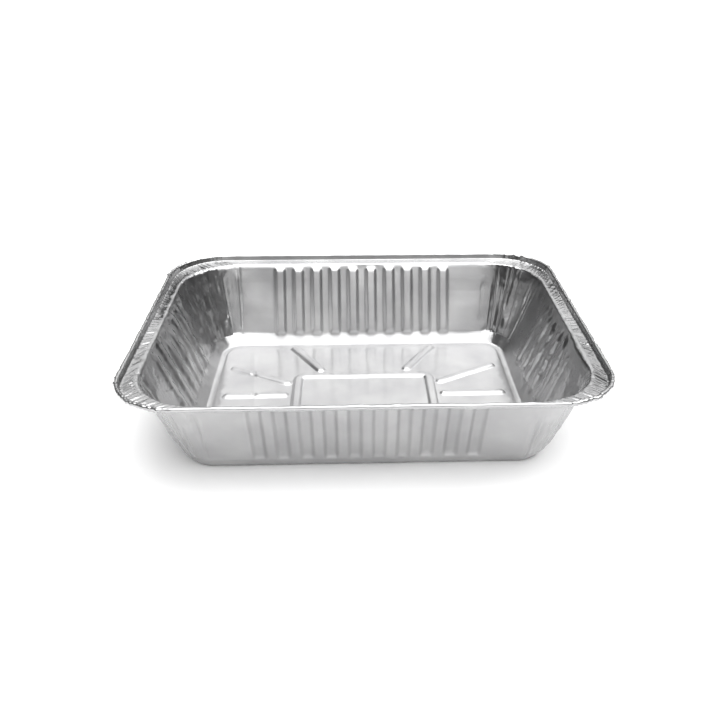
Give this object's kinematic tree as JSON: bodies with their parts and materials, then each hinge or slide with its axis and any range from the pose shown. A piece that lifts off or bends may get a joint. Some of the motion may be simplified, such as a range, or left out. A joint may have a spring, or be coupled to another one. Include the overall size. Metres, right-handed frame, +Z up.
{
  "type": "foil roasting pan",
  "caption": "Deep rectangular foil pan with ribbed sloping walls, a beaded floor, pleated round corners and a rolled rim, for roasting and carrying food.",
  "frame": {"origin": "centre of the pan's base, on the plane that it stands on", "axes": "+X along the long side, +Y towards the back wall, +Z up out of the open mouth"},
  "size_m": [0.324, 0.264, 0.07],
  "materials": {
    "foil": "bright rolled foil"
  },
  "bodies": {
    "root": {"foil_pan": "foil"}
  },
  "joints": []
}
